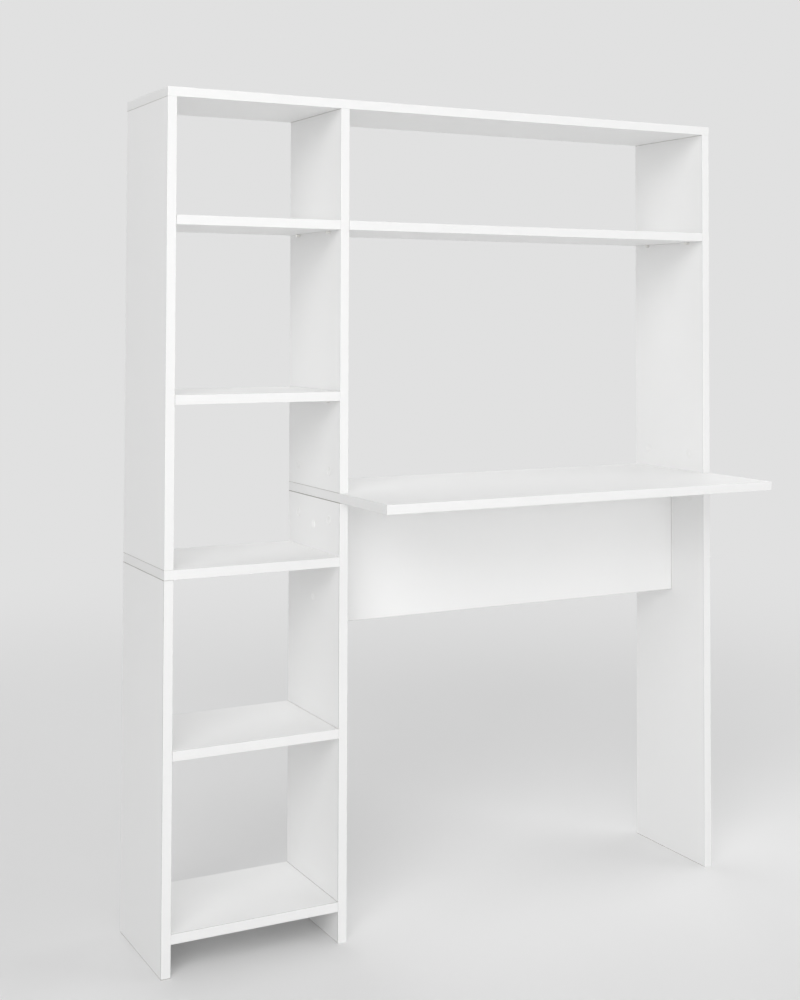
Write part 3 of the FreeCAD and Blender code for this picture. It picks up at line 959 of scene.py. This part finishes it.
@dataclass
class ShelfSupports:
    """The plated studs under the loose shelves: a pin, a collar and a round head with a flat seat."""

    pin_radius: float = 0.0025
    pin_length: float = 0.0064
    collar_radius: float = 0.0027
    collar_rise: float = 0.0012
    collar_ease: float = 0.00015
    head_radius: float = 0.00255
    head_length: float = 0.008
    seat_height: float = 0.0023
    seat_rim: float = 0.0002
    round_size: float = 0.0006
    round_steps: int = 4
    steps: int = 48
    groups: tuple[str, ...] = (
        "upper_left_shelf_supports",
        "middle_left_shelf_supports",
        "lower_left_shelf_supports",
        "upper_right_shelf_supports",
    )

    def pin(self) -> BMesh:
        """Make the pin, from the wall's face at the origin down along -Z.

        Returns:
            The pin's shape.
        """
        profile = [
            (0.0, 0.0),
            (self.pin_radius, 0.0),
            (self.pin_radius, self.round_size - self.pin_length),
            (self.pin_radius - self.round_size, -self.pin_length),
            (0.0, -self.pin_length),
        ]
        return turned(profile, self.steps)

    def head(self) -> BMesh:
        """Make the collar and the head along +Z, cut flat where the shelf lies, towards +X.

        Returns:
            The head's shape.
        """
        inner = self.head_radius - self.round_size
        level = self.head_length - self.round_size
        turns = [math.pi / 2 * step / self.round_steps for step in range(self.round_steps + 1)]
        size = self.round_size
        nose = [(inner + size * math.cos(turn), level + size * math.sin(turn)) for turn in turns]
        profile = [
            (0.0, 0.0),
            (self.collar_radius, 0.0),
            (self.collar_radius, self.collar_rise - self.collar_ease),
            (self.head_radius, self.collar_rise),
            *nose,
            (0.0, self.head_length),
        ]
        shape = turned(profile, self.steps)
        cut = bmesh.ops.bisect_plane(
            shape, geom=[*shape.verts, *shape.edges, *shape.faces], dist=POLE_MERGE,
            plane_co=(self.seat_height, 0.0, 0.0), plane_no=(1.0, 0.0, 0.0), clear_outer=True,
        )
        seat = bmesh.ops.edgeloop_fill(shape, edges=only(cut["geom_cut"], BMEdge))["faces"]
        bmesh.ops.inset_region(shape, faces=seat, thickness=self.seat_rim, depth=0.0)
        bmesh.ops.recalc_face_normals(shape, faces=shape.faces)
        return shape

    def places(self, node: str) -> list[Matrix]:
        """Find where the supports of one shelf go, each pointing from its wall into the bay.

        Args:
            node: The supports' node.

        Returns:
            The rotation and place of each support.
        """
        spots = solids_of(node)
        middle = sum(spot.centre.x for spot in spots) / len(spots)
        up = Facing.UP.vector
        found = []
        for spot in spots:
            on_left = spot.centre.x < middle
            wall = spot.high.x - self.head_length if on_left else spot.low.x + self.head_length
            out = (Facing.RIGHT if on_left else Facing.LEFT).vector
            turn = Matrix((up, out.cross(up), out)).transposed().to_4x4()
            found.append(Matrix.Translation((wall, spot.centre.y, spot.high.z - self.seat_height)) @ turn)
        return found

    def build(self) -> None:
        """Make the four supports under each loose shelf."""
        material = NICKEL.make("nickel_plate")
        for node in self.groups:
            support = join(self.head(), self.pin())
            stamp(Piece(f"{node}_turned", node, "steel"), support, self.places(node), material)


@dataclass
class Dowels:
    """The fluted wooden dowels in the joints."""

    radius: float = 0.004
    chamfer: float = 0.001
    flutes: int = 20
    flute_depth: float = 0.0003
    sharp_angle: float = 20.0
    nodes: tuple[str, ...] = (
        "top_panel_dowels", "left_tie_dowel", "partition_desk_dowel", "right_desk_dowel", "modesty_dowels",
        "column_shelf_dowels",
    )

    def pattern(self, length: float) -> BMesh:
        """Make one dowel along Z, centred at the origin.

        Args:
            length: The dowel's length.

        Returns:
            The dowel's shape.
        """
        sunk = 1.0 - self.flute_depth / self.radius
        narrow = 1.0 - self.chamfer / self.radius
        shape = bmesh.new()
        ring = bmesh.ops.create_circle(shape, cap_ends=False, segments=2 * self.flutes, radius=self.radius)
        bmesh.ops.scale(shape, vec=(sunk, sunk, 1.0), verts=ring["verts"][::2])
        bmesh.ops.translate(shape, vec=(0.0, 0.0, self.chamfer - length / 2), verts=shape.verts)
        base = shape.edges[:]
        risen = bmesh.ops.extrude_edge_only(shape, edges=base)["geom"]
        bmesh.ops.translate(shape, vec=(0.0, 0.0, length - 2.0 * self.chamfer), verts=only(risen, BMVert))
        for edges, step in ((base, -self.chamfer), (only(risen, BMEdge), self.chamfer)):
            grown = bmesh.ops.extrude_edge_only(shape, edges=edges)["geom"]
            corners = only(grown, BMVert)
            bmesh.ops.scale(shape, vec=(narrow, narrow, 1.0), verts=corners)
            bmesh.ops.translate(shape, vec=(0.0, 0.0, step), verts=corners)
            rim = [edge for edge in only(grown, BMEdge) if all(corner in corners for corner in edge.verts)]
            bmesh.ops.edgeloop_fill(shape, edges=rim)
        bmesh.ops.recalc_face_normals(shape, faces=shape.faces)
        return shape

    def build(self) -> None:
        """Make the dowels of every joint."""
        for node in self.nodes:
            spots = solids_of(node)
            run = spots[0].longest
            facing = Facing.UP if run == Axis.Z else Facing.RIGHT
            length = spots[0].high[run] - spots[0].low[run]
            places = [Matrix.Translation(spot.centre) @ facing.turn for spot in spots]
            material = Beech().make(f"{node}_beech", run)
            piece = Piece(f"{node}_fluted", node, "dowel", self.sharp_angle)
            stamp(piece, self.pattern(length), places, material)


@dataclass
class Screws:
    """The assembly screws: a flat socket head, a plain neck and a coarse thread."""

    head_radius: float = 0.005
    head_height: float = 0.0025
    neck_radius: float = 0.0035
    neck_end: float = 0.016
    chamfer: float = 0.0003
    core_radius: float = 0.0022
    length: float = 0.05
    tip_length: float = 0.005
    tip_radius: float = 0.00077
    tip_rise: float = 0.0005
    socket_flats: float = 0.004
    socket_depth: float = 0.003
    steps: int = 36
    pitch: float = 0.003
    ridge_radius: float = 0.0025
    ridge_root: float = 0.00198
    ridge_width: float = 0.0012
    ridge_steps: int = 24
    groups: tuple[tuple[str, Facing | None], ...] = (
        ("top_panel_screws", Facing.UP),
        ("modesty_screws", None),
    )

    def shank(self) -> BMesh:
        """Make the screw's body with its head's top at the origin and its point along -Z.

        Returns:
            The body's shape, with its socket.
        """
        profile = [
            (0.0, -self.length),
            (self.tip_radius, self.tip_rise - self.length),
            (self.core_radius, self.tip_length - self.length),
            (self.core_radius, -self.neck_end - self.chamfer),
            (self.neck_radius, -self.neck_end),
            (self.neck_radius, -self.head_height - self.chamfer),
            (self.head_radius, -self.head_height),
            (self.head_radius, -self.chamfer),
            (self.head_radius - self.chamfer, 0.0),
        ]
        shape = turned(profile, self.steps)
        rim = [edge for edge in shape.edges if edge.is_boundary]
        corner = self.socket_flats / math.sqrt(3.0)
        socket = bmesh.ops.create_circle(shape, cap_ends=False, segments=6, radius=corner)["verts"]
        mouth = [edge for edge in shape.edges if all(vert in socket for vert in edge.verts)]
        bmesh.ops.triangle_fill(shape, use_beauty=True, use_dissolve=False, edges=rim + mouth)
        floor = only(bmesh.ops.extrude_edge_only(shape, edges=mouth)["geom"], BMVert)
        bmesh.ops.translate(shape, vec=(0.0, 0.0, -self.socket_depth), verts=floor)
        base = [edge for edge in shape.edges if all(vert in floor for vert in edge.verts)]
        bmesh.ops.edgeloop_fill(shape, edges=base)
        bmesh.ops.recalc_face_normals(shape, faces=shape.faces)
        return shape

    def thread(self) -> BMesh:
        """Wind the thread's ridge round the core.

        Returns:
            The ridge's shape, closed at both ends.
        """
        shape = bmesh.new()
        start = self.tip_length - self.length
        turns = int((-self.neck_end - start) / self.pitch) - 1
        profile = [
            (self.ridge_root, start),
            (self.ridge_radius, start + self.ridge_width / 2),
            (self.ridge_root, start + self.ridge_width),
        ]
        corners = [shape.verts.new((radius, 0.0, height)) for radius, height in profile]
        face = shape.faces.new(corners)
        bmesh.ops.spin(
            shape, geom=[face, *face.edges, *corners], cent=(0, 0, 0), axis=(0, 0, 1),
            dvec=(0, 0, self.pitch / self.ridge_steps), angle=math.tau * turns,
            steps=self.ridge_steps * turns, use_merge=False,
        )
        bmesh.ops.recalc_face_normals(shape, faces=shape.faces)
        return shape

    def build(self) -> None:
        """Make the screws in the top panel and at the modesty panel's ends."""
        material = ZINC.make("screw_zinc")
        for node, facing in self.groups:
            screw = join(self.shank(), self.thread())
            stamp(Piece(f"{node}_threaded", node, "steel"), screw, places_of(node, facing), material)


@dataclass
class CamFittings:
    """The cam housings and their bolts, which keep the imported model's shapes."""

    cams: tuple[str, ...] = (
        "left_tie_cams", "partition_desk_cams", "right_desk_cams", "column_shelf_cams",
    )
    bolts: tuple[str, ...] = (
        "left_tie_bolts", "partition_desk_bolts", "right_desk_bolts", "column_shelf_bolts",
    )

    def dress(self) -> None:
        """Give the cams their cast skin and the bolts their plating."""
        cast = CAST_ZINC.make("cast_zinc")
        plated = ZINC.make("bolt_zinc")
        for node in self.cams:
            dress_node(node, cast)
        for node in self.bolts:
            dress_node(node, plated)


# Studio and camera


@dataclass(frozen=True)
class Lamp:
    """A soft lamp that looks at the middle of the desk from some way off."""

    name: str
    heading: float
    elevation: float
    size: tuple[float, float]
    power: float
    aim: Triple = (0.0, 0.0, 0.75)
    distance: float = 6.5

    def build(self) -> None:
        """Make the lamp at its heading, in degrees from the desk's front to its left."""
        heading, elevation = math.radians(self.heading), math.radians(self.elevation)
        level = math.cos(elevation)
        outward = Vector((-math.sin(heading) * level, -math.cos(heading) * level, math.sin(elevation)))
        data = bpy.data.lights.new(self.name, "AREA")
        data.shape = "RECTANGLE"
        data.size, data.size_y = self.size
        data.energy = self.power
        lamp = bpy.data.objects.new(self.name, data)
        lamp.location = Vector(self.aim) + self.distance * outward
        lamp.rotation_euler = (-outward).to_track_quat("-Z", "Y").to_euler()
        bpy.context.scene.collection.objects.link(lamp)


@dataclass
class Studio:
    """A pale floor that fades into a pale backdrop, under soft lamps, with painted shade on the floor:
    lighter in front of the desk, darker behind.
    """

    backdrop: Colour = (0.752, 0.752, 0.752)
    floor_bounce: Colour = (0.75, 0.75, 0.75)
    floor_front_painted_light: Colour = (0.84, 0.84, 0.84)
    floor_back_painted_shade: Colour = (0.768, 0.768, 0.768)
    front_end: float = -0.4
    back_start: float = 0.7
    floor_radius: float = 30.0
    floor_sides: int = 96
    fade_start: float = 1.1
    fade_end: float = 4.2
    ambient: float = 0.336
    lamps: tuple[Lamp, ...] = (
        Lamp("key", 43.0, 31.0, (3.2, 3.2), 115.0),
        Lamp("left_front", 30.0, 12.0, (5.0, 4.2), 122.0),
        Lamp("front_low", 0.0, 3.0, (7.0, 2.1), 60.0),
        Lamp("right", -75.0, 30.0, (7.0, 6.0), 170.0),
        Lamp("right_back", -120.0, 25.0, (4.0, 4.0), 44.0),
        Lamp("left_back", 135.0, 25.0, (4.0, 4.0), 21.0),
        Lamp("back_high", 180.0, 50.0, (4.0, 4.0), 75.0),
        Lamp("back_low", 180.0, 0.0, (1.6, 1.4), 75.0),
    )

    def make_world(self) -> None:
        """Light the scene evenly from all round, behind a backdrop of its own colour."""
        world = bpy.data.worlds.new("studio")
        bpy.context.scene.world = world
        world.use_nodes = True
        sky = Nodes(world.node_tree)
        light = sky.nodes["Background"]
        light.inputs["Color"].default_value = (1.0, 1.0, 1.0, 1.0)
        light.inputs["Strength"].default_value = self.ambient
        shown = sky.add("ShaderNodeBackground")
        shown.inputs["Color"].default_value = (*self.backdrop, 1.0)
        sky.send_out(sky.seen(), light, shown, "World Output")

    def floor_material(self) -> Material:
        """Make the floor's matt finish, with painted shade from lighter in front to darker behind, which
        fades into the backdrop with distance.

        Returns:
            The material.
        """
        recipe = Recipe("studio_floor")
        seen = recipe.seen()
        # Painted shade: the floor's seen colour runs from lighter in front of the desk to darker behind it
        painted_shade_share = recipe.ramp(recipe.axes.outputs[Axis.Y], self.front_end, self.back_start, Curve.SMOOTH)
        painted_floor_tone = recipe.blend(painted_shade_share, self.floor_front_painted_light, self.floor_back_painted_shade)
        matt = recipe.add("ShaderNodeBsdfDiffuse")
        recipe.wire(recipe.blend(seen, self.floor_bounce, painted_floor_tone), matt.inputs["Color"])
        glow = recipe.add("ShaderNodeEmission")
        glow.inputs["Color"].default_value = (*self.backdrop, 1.0)
        reach = recipe.add("ShaderNodeVectorMath", operation="LENGTH")
        recipe.wire(recipe.place, reach.inputs[0])
        fade = recipe.ramp(reach.outputs["Value"], self.fade_start, self.fade_end, Curve.SMOOTHER)
        recipe.send_out(recipe.math("MULTIPLY", fade, seen), matt, glow, "Material Output")
        return recipe.material

    def make_floor(self) -> None:
        """Lay the floor, which takes the desk's shadow."""
        shape = bmesh.new()
        bmesh.ops.create_circle(shape, cap_ends=True, segments=self.floor_sides, radius=self.floor_radius)
        mesh = bpy.data.meshes.new("floor")
        shape.to_mesh(mesh)
        shape.free()
        mesh.materials.append(self.floor_material())
        floor = bpy.data.objects.new("floor", mesh)
        bpy.context.scene.collection.objects.link(floor)

    def build(self) -> None:
        """Make the world, the floor and the lamps."""
        self.make_world()
        self.make_floor()
        for lamp in self.lamps:
            lamp.build()
        bpy.context.scene.view_settings.view_transform = "Standard"


@dataclass(frozen=True)
class PhotographCamera:
    """The camera at the photograph's viewpoint, with its lens shifted down."""

    place: Triple = (-1.3425, -2.3426, 1.0464)
    heading: float = 27.619
    tilt: float = 1.881
    roll: float = 0.163
    focal_pixels: float = 1512.7
    centre_row: float = 268.7
    image_height: float = 1000.0
    sensor: float = 36.0
    clip_end: float = 200.0

    def build(self) -> None:
        """Make the camera and give it to the scene."""
        heading, tilt, roll = (math.radians(turn) for turn in (self.heading, self.tilt, self.roll))
        forward = Vector(
            (math.sin(heading) * math.cos(tilt), math.cos(heading) * math.cos(tilt), math.sin(tilt))
        )
        level = Vector((math.cos(heading), -math.sin(heading), 0.0))
        above = level.cross(forward)
        right = math.cos(roll) * level + math.sin(roll) * above
        up = math.cos(roll) * above - math.sin(roll) * level
        data = bpy.data.cameras.new("photograph_camera")
        data.sensor_fit = "VERTICAL"
        data.sensor_height = self.sensor
        data.lens = self.focal_pixels * self.sensor / self.image_height
        data.shift_y = self.centre_row / self.image_height - 0.5
        data.clip_end = self.clip_end
        camera = bpy.data.objects.new("photograph_camera", data)
        turn = Matrix((right, up, -forward)).transposed().to_4x4()
        camera.matrix_world = Matrix.Translation(self.place) @ turn
        bpy.context.scene.collection.objects.link(camera)
        bpy.context.scene.camera = camera


def main() -> None:
    """Build the camera, the studio and every dressed part of the desk."""
    logging.basicConfig(level=logging.INFO, format="%(message)s")
    PhotographCamera().build()
    Studio().build()
    Boards().dress()
    CamFittings().dress()
    for fittings in (CamCaps(), ScrewCaps(), Screws(), ShelfSupports(), Dowels()):
        fittings.build()


if __name__ == "__main__":
    main()
